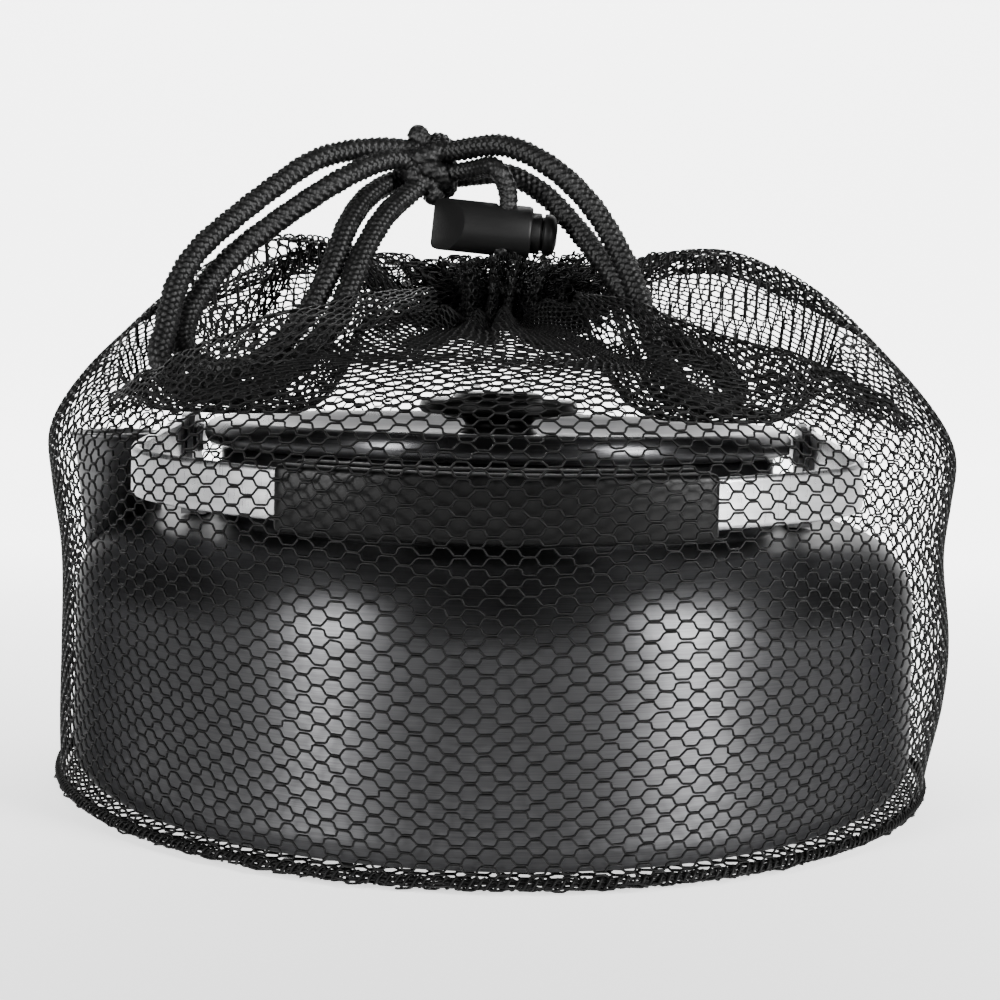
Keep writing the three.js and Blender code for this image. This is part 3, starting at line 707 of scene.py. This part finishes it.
def make_lock(plastic):
    outline = [
        (0, -15.4), (4.9, -15.4), (5.35, -15.2), (5.5, -14.8), (5.5, 4.9), (5.3, 5.4), (4.9, 5.6),
        (4.6, 5.6), (4.45, 5.4), (4.45, -7.8), (3.55, -9), (0, -9),
    ]
    barrel = turned("cord_lock_barrel_moulding", outline, plastic, 96)
    mesh = bmesh.new()
    mesh.from_mesh(barrel.data)
    slant = radians(40)
    cut = bmesh.ops.bisect_plane(
        mesh,
        geom=mesh.verts[:] + mesh.edges[:] + mesh.faces[:],
        dist=1e-6,
        plane_co=Vector((0, 0, -13)) * MM,
        plane_no=Vector((0, -sin(slant), -cos(slant))),
        clear_outer=True,
    )
    rim = [e for e in cut["geom_cut"] if isinstance(e, bmesh.types.BMEdge)]
    bmesh.ops.contextual_create(mesh, geom=rim)
    bmesh.ops.recalc_face_normals(mesh, faces=mesh.faces)
    mesh.to_mesh(barrel.data)
    mesh.free()
    boolean_cut(barrel, cord_way(plastic, 2.3, 0))
    barrel.data.transform(LOCK_MATRIX)
    bevelled(barrel, 0.35, 40)
    place(barrel, "cord_lock", "lock_plastic", "cord_lock_barrel")
    r = 4.3
    button = [
        (0, -4.6), (r, -4.6), (r, 7.2), (r - 0.15, 7.5), (3.6, 7.6), (3.6, 8.1), (r - 0.15, 8.2),
        (r, 8.5), (r, 9.4), (4.1, 10), (3.6, 10.5), (2.9, 10.8), (2, 11), (0, 11),
    ]
    plunger = turned("cord_lock_button", button, plastic, 72)
    boolean_cut(plunger, cord_way(plastic, 3.7, 1.5))
    plunger.data.transform(LOCK_MATRIX)
    plunger.data.polygons.foreach_set("use_smooth", [True] * len(plunger.data.polygons))
    place(plunger, "lock_plunger", "lock_plastic", "cord_lock_plunger")


def make_spring(steel):
    """The lock's coil, at rest; it rides on the lock with the barrel."""
    coils, r, wire, foot, tall = 4, 2.6, 0.34, -8.5, 3.4
    a = np.linspace(0, 2 * pi * coils, 24 * coils + 1)[:, None]
    b = np.linspace(0, 2 * pi, 12, endpoint=False)[None]
    out = r + wire * np.cos(b)
    rise = foot + tall * a / a[-1] + wire * np.sin(b)
    points = np.stack([out * np.cos(a), out * np.sin(a), rise], axis=-1)
    spring = mesh_object("cord_lock_coil", points.reshape(-1, 3), tube_faces(len(a), 12), steel)
    spring.data.transform(LOCK_MATRIX)
    place(spring, "cord_lock", "steel", "cord_lock_spring")
    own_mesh(spring)


def cord_way(material, half_along, at):
    """A cutting tool for the cord's oblong way across the lock."""
    across = Matrix.Translation((0, 0, at)) @ Matrix.Diagonal((1, 3.75 / 2.3, half_along / 2.3, 1))
    lying = across @ Matrix.Rotation(pi / 2, 4, "Y")
    return turned("way_tool", [(0, -12), (2.3, -12), (2.3, 12), (0, 12)], material, 40, lying)


LOCK_MATRIX = Matrix.Translation(Vector(LOCK_AT) * MM) @ Matrix.Rotation(radians(90 + LOCK_TILT), 4, "Y")


# ---------------------------------------------------------------- net

COLUMNS = 218  # columns of cells round the bag, each half a row off the next
GIRTH = 572  # length of the flat net, round the pan
ROW = 3.12  # height of a cell
NET_TALL = 184  # height of the flat net with its margins; the whole rows that fit take up 182 of it
WALL_TALL = 78  # the part of it that stands round the pan's wall
THREAD_R = 0.22
THREAD_FAT = 1.1  # a three-sided thread's corners stand this much further out than a round one
CELL_GAP = 0.17  # half of the gap between two threads that run side by side
BACK = [
    (89.6, 1.8), (89.8, 10), (90, 26), (90.6, 46), (94, 60), (93.4, 70), (88, 82), (76, 93),
    (62, 103), (47, 108.5), (32, 106), (21, 98), (16, 92.5),
]
FRONT = [
    (89.6, 1.8), (90.5, 10), (92.2, 24), (93.9, 38), (94.2, 48), (94.5, 57), (94.2, 67),
    (88.2, 77), (77, 84), (63, 89), (48, 93), (34, 96), (25, 96.5), (16, 92.5),
]
SIDE = [
    (89.6, 1.8), (89.8, 10), (89.8, 26), (90.2, 46), (92, 60), (92.4, 70), (87, 81), (76, 93),
    (62, 103), (47, 108.5), (32, 106), (21, 98), (16, 92.5),
]
HOLLOWS = [(-51, -40, 14, 75.1, 0.12), (41, -38, 12, 75.1, 0.1)]  # x, y, radius, height, rise


def profile_at(line, t):
    """Radius and height at a share t of the flat net's height: full height on the wall, closer above."""
    curve = smooth_line([(r, 0, z) for r, z in line], 12)
    along = np.concatenate([[0], np.cumsum(np.linalg.norm(np.diff(curve, axis=0), axis=1))])
    up = t * NET_TALL
    above = (up - WALL_TALL) * (along[-1] - WALL_TALL) / (NET_TALL - WALL_TALL)
    at = np.where(up < WALL_TALL, up, WALL_TALL + above)
    return np.interp(at, along, curve[:, 0]), np.interp(at, along, curve[:, 2])


def smoothstep(x, a, b):
    t = np.clip((x - a) / (b - a), 0, 1)
    return t * t * (3 - 2 * t)


def ripples(turn, t, seed, count, low, high, across=0.0):
    """Folds that run up the bag: a sum of waves round it, from -1 to 1 or so."""
    random = np.random.default_rng(seed)
    total = 0
    for _ in range(count):
        k = random.integers(low, high)
        lean = random.uniform(-across, across)
        phase = random.uniform(0, 2 * pi)
        total = total + np.sin(2 * pi * (k * turn + lean * t) + phase) * random.uniform(0.5, 1)
    return total / sqrt(count)


def pleats(turn):
    """The gathers round the neck, from -1 to 1."""
    phase = 23 * turn + 0.5 * np.sin(4 * pi * turn + 1) + 0.3 * np.sin(10 * pi * turn + 2)
    return np.sin(2 * pi * phase) + 0.25 * np.sin(2 * pi * (41 * turn + 0.3 * np.sin(6 * pi * turn)))


def lobes(turn):
    """The dome's large folds: a wave's phase, in turns, that comes round seven times."""
    return 7 * turn + 0.35 * np.sin(4 * pi * turn + 0.6) + 0.2 * np.sin(6 * pi * turn + 2.2)


def bag_surface(turn, t):
    """A point of the net, turn and t being shares of the way round and up it."""
    crowd = smoothstep(t, 0.42, 0.62) * (1 - 0.35 * smoothstep(t, 0.84, 1))
    phase = 2 * pi * (lobes(turn) + 0.12 * np.sin(7 * t))
    crease = np.cos(phase)
    turn = turn - crowd * 0.0195 * np.sin(phase)
    a = 2 * pi * turn
    forward = -np.sin(a)
    side_r, side_z = profile_at(SIDE, t)
    front_r, front_z = profile_at(FRONT, t)
    back_r, back_z = profile_at(BACK, t)
    w = smoothstep(np.abs(forward), 0.3, 0.8)
    end_r = np.where(forward > 0, front_r, back_r)
    end_z = np.where(forward > 0, front_z, back_z)
    r = side_r * (1 - w) + end_r * w
    z = side_z * (1 - w) + end_z * w
    dome = smoothstep(t, 0.42, 0.75)
    neck = smoothstep(t, 0.86, 1.0)
    deep = 0.5 * smoothstep(t, 0.6, 0.8) + 3.2 * smoothstep(t, 0.8, 1.0)
    gather = pleats(turn + 0.006 * np.sin(9 * t)) * deep
    waves = ripples(turn, t, 3, 5, 5, 14, 1.2) * 1.3
    fold = (waves - 4.2 * np.maximum(crease, -0.5) * crowd) * dome * (1 - neck)
    low = ripples(turn, t, 11, 4, 5, 13, 1.4) * 0.9 + ripples(turn, t, 17, 3, 2, 6, 2.4) * 0.7
    right = smoothstep(np.cos(a), 0.0, 0.8)
    slack = 0.25 + 0.7 * right
    low = (low * slack + 0.3) * (1 - dome) * smoothstep(t, 0.0, 0.1)
    low = low + 3.8 * right * np.exp(-(((t - 0.16) / 0.11) ** 2))
    low = low + 2.0 * right * np.exp(-(((t - 0.36) / 0.08) ** 2))
    slope = smoothstep(t, 0.38, 0.62)
    r = r + low + fold * (1 - 0.65 * slope) + gather * neck
    z = z + fold * slope * 0.85 + gather * (1 - neck)
    bulge = np.exp(-((np.abs(turn - 0.5) / 0.035) ** 2)) * np.exp(-(((t - 0.36) / 0.09) ** 2))
    r = r + 2.2 * bulge
    x, y = r * np.cos(a), r * np.sin(a)
    for hx, hy, hr, hz, rise in HOLLOWS:
        away = np.maximum(0, np.hypot(x - hx, y - hy) - hr)
        floor = hz + rise * away**2 + 0.16 * np.maximum(0, y + 46)
        z = np.where((t > 0.45) & (z > floor), floor + 0.25 * np.tanh(z - floor), z)
    return np.stack([x, y, z], axis=-1)


# Two folds stand up in front of the cord loops: lines along a fold's foot in front, its crest and its back.
LEFT_FOLD = [
    [
        (-12, -34, 96), (-22, -48, 92.5), (-32, -60, 87.5), (-45, -68, 81), (-55, -68, 78),
        (-64, -62, 76), (-72, -53, 74.5),
    ],
    [
        (-13, -28, 99), (-23, -42, 96.5), (-33, -54, 92.5), (-46.5, -63, 87), (-56, -64, 83),
        (-64, -60.5, 80), (-71.5, -53, 77),
    ],
    [
        (-14, -22, 100), (-24, -34, 98.5), (-33, -46, 96), (-47, -56, 91), (-56, -58, 86.5),
        (-63, -57, 83), (-70, -52, 79),
    ],
    [
        (-14, -20, 96), (-23.5, -31, 94), (-32.5, -43.5, 90), (-46.5, -54.4, 84), (-55.5, -56, 81),
        (-62.5, -54.5, 79), (-69, -50, 77),
    ],
]
RIGHT_FOLD = [
    [
        (13, -34, 96), (23, -50, 91.5), (33, -62, 86), (44, -67, 81.5), (57, -65, 78.5),
        (70, -56, 76), (80, -42, 74),
    ],
    [
        (14.5, -28, 99), (24, -45, 96), (33.5, -58, 91), (43.5, -62.5, 87.5), (56, -60, 84.5),
        (69, -52.5, 80.5), (79, -40, 76.5),
    ],
    [
        (15, -22, 100), (24, -38, 98), (33, -50, 94), (42, -54, 91), (54, -52, 88),
        (66, -46, 83.5), (76, -36, 78),
    ],
    [
        (14.5, -19.5, 96), (25, -35.8, 92), (33.5, -49, 88), (42, -52.6, 85), (53.5, -50, 82),
        (65, -44.5, 79), (74.5, -35, 75.5),
    ],
]


def patch_surface(lines, seed):
    """A smooth surface through lines that run side by side, with slight waves."""
    rows = np.array([smooth_line(line, 12) for line in lines])
    grid = np.array([smooth_line(rows[:, k], 12) for k in range(rows.shape[1])])

    def at(u, v):
        u = np.clip(u, 0, 1)
        v = np.clip(v, 0, 1)
        i = u * (grid.shape[0] - 1.001)
        j = v * (grid.shape[1] - 1.001)
        a, b = i.astype(int), j.astype(int)
        fu, fv = (i - a)[..., None], (j - b)[..., None]
        point = (grid[a, b] * (1 - fu) + grid[a + 1, b] * fu) * (1 - fv)
        point = point + (grid[a, b + 1] * (1 - fu) + grid[a + 1, b + 1] * fu) * fv
        wave = 0.9 * ripples(u, v, seed, 6, 3, 9, 1.5)[..., None]
        return point + wave * np.array([0.25, -0.6, 0.6])

    return at


def strand_waves(columns, strands, row, seed):
    """Where each strand's points lie, as shares of the way round and millimetres up the flat net."""
    offsets = np.array([-0.41, -0.29, 0.29, 0.41])
    lift = np.array([0.66, 1.0, 1.0, 0.66])
    column = np.arange(columns)
    across = (column[:, None] + 0.5 + offsets[None]).reshape(-1) / columns
    sign = np.where(column % 2 == 0, 1.0, -1.0)
    wave = (sign[:, None] * lift[None]).reshape(-1)
    k = np.arange(strands)
    amplitude = row / 4 - CELL_GAP
    up = (k[:, None] + 0.5) * row / 2 + np.where(k % 2 == 0, 1, -1)[:, None] * wave[None] * amplitude
    random = np.random.default_rng(seed)
    round_way = 2 * pi * across[None]
    up = up + 0.12 * np.sin(23 * round_way + 1.7 * k[:, None]) + random.normal(0, 0.03, up.shape)
    shift = 0.1 * np.sin(17 * round_way + 0.9 * k[:, None]) + random.normal(0, 0.035, up.shape)
    return across[None] + shift / columns, up


def threads(name, points, outward, material, radius=THREAD_R, closed=True):
    """Three-sided tubes along rows of points, as one mesh."""
    tangent = np.roll(points, -1, 1) - np.roll(points, 1, 1)
    if not closed:
        tangent[:, 0] = points[:, 1] - points[:, 0]
        tangent[:, -1] = points[:, -1] - points[:, -2]
    tangent /= np.maximum(np.linalg.norm(tangent, axis=2, keepdims=True), 1e-9)
    side = np.cross(outward, tangent)
    side /= np.maximum(np.linalg.norm(side, axis=2, keepdims=True), 1e-9)
    up = np.cross(tangent, side)
    rows, count = points.shape[:2]
    angles = np.array([pi / 2, pi / 2 + 2 * pi / 3, pi / 2 + 4 * pi / 3])
    ring = np.cos(angles)[None, None, :, None] * side[:, :, None]
    ring = ring + np.sin(angles)[None, None, :, None] * up[:, :, None]
    vertices = (points[:, :, None] + radius * THREAD_FAT * ring).reshape(-1, 3)
    spans = count if closed else count - 1
    i, j, k = np.meshgrid(np.arange(rows), np.arange(spans), np.arange(3), indexing="ij")
    following = (j + 1) % count
    base, after = (i * count + j) * 3, (i * count + following) * 3
    faces = np.stack([base + k, base + (k + 1) % 3, after + (k + 1) % 3, after + k], axis=-1).reshape(-1, 4)
    return mesh_object(name, vertices, faces, material)


def surface_out(surface, turn, t, step=2e-3):
    round_way = surface(turn + step, t) - surface(turn - step, t)
    up_way = surface(turn, t + step) - surface(turn, t - step)
    out = np.cross(round_way, up_way)
    return out / np.maximum(np.linalg.norm(out, axis=-1, keepdims=True), 1e-9)


def flat_thread_area(across, up, girth):
    """Half of the threads' surface when the net lies flat, before it is gathered, in square metres."""
    steps_across = np.diff(across, axis=1, append=across[:, :1] + 1) * girth
    steps_up = np.diff(up, axis=1, append=up[:, :1])
    length = np.hypot(steps_across, steps_up).sum()
    round_thread = 3 * sqrt(3) * THREAD_FAT * THREAD_R  # a three-sided thread's girth
    return length * round_thread / 2 * MM**2


def make_side_net(material):
    strands = int(NET_TALL / (ROW / 2))
    across, up = strand_waves(COLUMNS, strands, ROW, 1)
    flat_area = flat_thread_area(across, up, GIRTH)
    t = up / (strands * ROW / 2 + 1)
    turn = across + 0.0055 * ripples(across, t, 23, 5, 2, 6, 1.4) * smoothstep(t, 0, 0.15)
    t = t + 0.006 * ripples(across, t, 29, 5, 2, 8, 1.6) * smoothstep(t, 0, 0.1) * smoothstep(1 - t, 0, 0.1)
    points = bag_surface(turn, t)
    out = surface_out(bag_surface, turn, np.clip(t, 0.003, 0.997))
    net = threads("bag_side_threads", points, out, material)
    place_soft(net, "net", "bag_side_net")
    folds = []
    for word, lines, seed in (("left", LEFT_FOLD, 31), ("right", RIGHT_FOLD, 37)):
        surface = patch_surface(lines, seed)
        strands = 20
        across, up = strand_waves(44, strands, ROW, seed)
        v = up / (strands * ROW / 2)
        points = surface(across, v)
        out = surface_out(surface, across, v)
        fold = threads("bag_fold_" + word, points, out, material, closed=False)
        folds.append(place_soft(fold, "net", "bag_side_net"))
    return net, folds, flat_area


def disc_net(name, radius, height, material):
    """Flat net cut to a circle: each strand runs straight across it."""
    column = 2.55
    count = int(2 * radius / column) + 4
    count -= count % 2
    strands = int(2 * radius / (ROW / 2))
    across, up = strand_waves(count, strands, ROW, 2)
    x = (across - 0.5) * count * column
    y = up - strands * ROW / 4
    random = np.random.default_rng(4)
    pieces, faces, total = [], [], 0
    for row in range(strands):
        inside = np.abs(x[row]) < sqrt(max(radius**2 - (y[row].mean()) ** 2, 0))
        if inside.sum() < 8:
            continue
        line = np.stack([x[row][inside], y[row][inside], np.full(inside.sum(), height)], axis=-1)
        line[:, 2] += random.normal(0, 0.04, len(line))
        pieces.append(line)
    verts = []
    for line in pieces:
        tangent = np.gradient(line, axis=0)
        tangent /= np.linalg.norm(tangent, axis=1, keepdims=True)
        side = np.cross([0, 0, 1.0], tangent)
        corners = (pi / 2, 7 * pi / 6, 11 * pi / 6)
        ring = [line + THREAD_R * THREAD_FAT * (cos(a) * side + np.array([0, 0, sin(a)])) for a in corners]
        block = np.stack(ring, axis=1).reshape(-1, 3)
        n = len(line)
        j, k = np.meshgrid(np.arange(n - 1), np.arange(3), indexing="ij")
        base = total + j * 3
        last = total + len(block) - 3
        sides = np.stack([base + k, base + (k + 1) % 3, base + 3 + (k + 1) % 3, base + 3 + k], axis=-1)
        faces += sides.reshape(-1, 4).tolist()
        faces += [[total + 2, total + 1, total], [last, last + 1, last + 2]]
        verts.append(block)
        total += len(block)
    return mesh_object(name, np.concatenate(verts), faces, material)


def make_bottom(material):
    bottom = disc_net("bag_bottom_threads", 89.4, 0.6, material)
    place(bottom, "kettle", "net", "bag_bottom_net")

    def ruffle(turn, t):
        a = 2 * pi * turn
        wave = np.sin(2 * pi * 61 * turn + 2.2 * np.sin(2 * pi * 7 * turn))
        wave = wave + 0.6 * np.sin(2 * pi * 37 * turn)
        r = 89.6 + 1.3 * t + 0.35 * wave * t
        z = 2.6 - 1.6 * t + 0.4 * wave * t * np.cos(2 * pi * 23 * turn)
        return np.stack([r * np.cos(a), r * np.sin(a), np.maximum(z, 0.4)], axis=-1)

    across, up = strand_waves(COLUMNS + 30, 5, 1.5, 6)
    t = up / 4.4
    fringe = threads("bag_bottom_fringe", ruffle(across, t), surface_out(ruffle, across, t), material)
    place(fringe, "kettle", "net", "bag_bottom_seam")

    loops = 190

    def overlock(turn, t):
        a = 2 * pi * turn
        loop = 2 * pi * loops * turn
        r = 89.9 + 0.8 * np.cos(loop + 2 * pi * t)
        z = 1.9 + 0.9 * np.sin(loop + 2 * pi * t)
        return np.stack([r * np.cos(a), r * np.sin(a), z], axis=-1)

    turns = np.linspace(0, 1, loops * 10, endpoint=False)[None]
    rows = np.array([0.0, 0.5])[:, None]
    points = overlock(turns + 0 * rows, rows + 0 * turns)
    out = points * [1, 1, 0] / np.linalg.norm(points * [1, 1, 0], axis=-1, keepdims=True)
    stitch = threads("bag_bottom_overlock", points, out, material, 0.24)
    place(stitch, "kettle", "net", "bag_bottom_seam")
    return bottom, [fringe, stitch]


def hem_surface(lift, middle, depth):
    """The gathered mouth: deep pleats round the neck, pinched below and flared at the top."""

    def at(turn, t):
        a = 2 * pi * turn
        pinch = middle * (1 - 0.1 * np.sin(pi * np.clip(t, 0, 1) * 0.9) + 0.18 * smoothstep(t, 0.5, 1.0))
        puff = 1.3 * np.sin(2 * pi * 4 * turn + lift) * t + 0.8 * np.sin(2 * pi * 7 * turn + 5 * t + lift)
        pleat = depth * pleats(turn + 0.004 * lift * np.sin(4 * t + lift)) * (0.8 + 0.3 * t)
        r = pinch + pleat + puff * 0.8
        z = 92.5 + 13.6 * t + 0.8 * puff * t
        rim = 1.4 * np.sin(2 * pi * 6 * turn + lift * 2) + 1.6 * np.sin(2 * pi * 3 * turn + lift)
        z = z + rim * smoothstep(t, 0.4, 1)
        return np.stack([HEM_X * t + r * np.cos(a), r * np.sin(a), z], axis=-1)

    return at


def make_hem(material):
    layers = []
    sizes = (("outer", 0.0, 16, 3.4, 12), ("middle", 1.7, 13, 3.2, 13), ("core", 3.1, 9, 2.2, 12))
    for word, lift, middle, depth, rows in sizes:
        surface = hem_surface(lift, middle, depth)
        across, up = strand_waves(COLUMNS, rows, 2.3, 8)
        t = up / (rows * 2.3 / 2)
        out = surface_out(surface, across, t)
        hem = threads("bag_mouth_" + word, surface(across, t), out, material, 0.2)
        layers.append(place(hem, "bag_top", "net", "bag_mouth_hem"))
    return layers


metal = turned_metal("body_anodised", (0.052, 0.052, 0.054), (0.074, 0.074, 0.076), 0.38, 0.35)
lid_metal = turned_metal("lid_anodised", (0.045, 0.045, 0.047), (0.07, 0.07, 0.072), 0.3, 0.8)
tube_metal = polished_steel("spout_anodised", 0.42, 0.11)
steel = polished_steel("steel_polished", 0.3, 0.44)
rivet_steel = polished_steel("steel_satin", 0.3)
grip_black = black_plastic("grip_black", 0.38, 0.0008)
knob_black = black_plastic("knob_black", 0.4, 0.0015)
lock_black = black_plastic("lock_black", 0.42, 0.003)
thread = net_fibre()

make_kettle(metal, tube_metal, steel, rivet_steel)
make_lid(lid_metal, knob_black)
make_bail(steel, grip_black)
make_lock(lock_black)
make_spring(steel)
side_net, folds, net_area = make_side_net(thread)
bottom_net, seam = make_bottom(thread)
mouth = make_hem(thread)
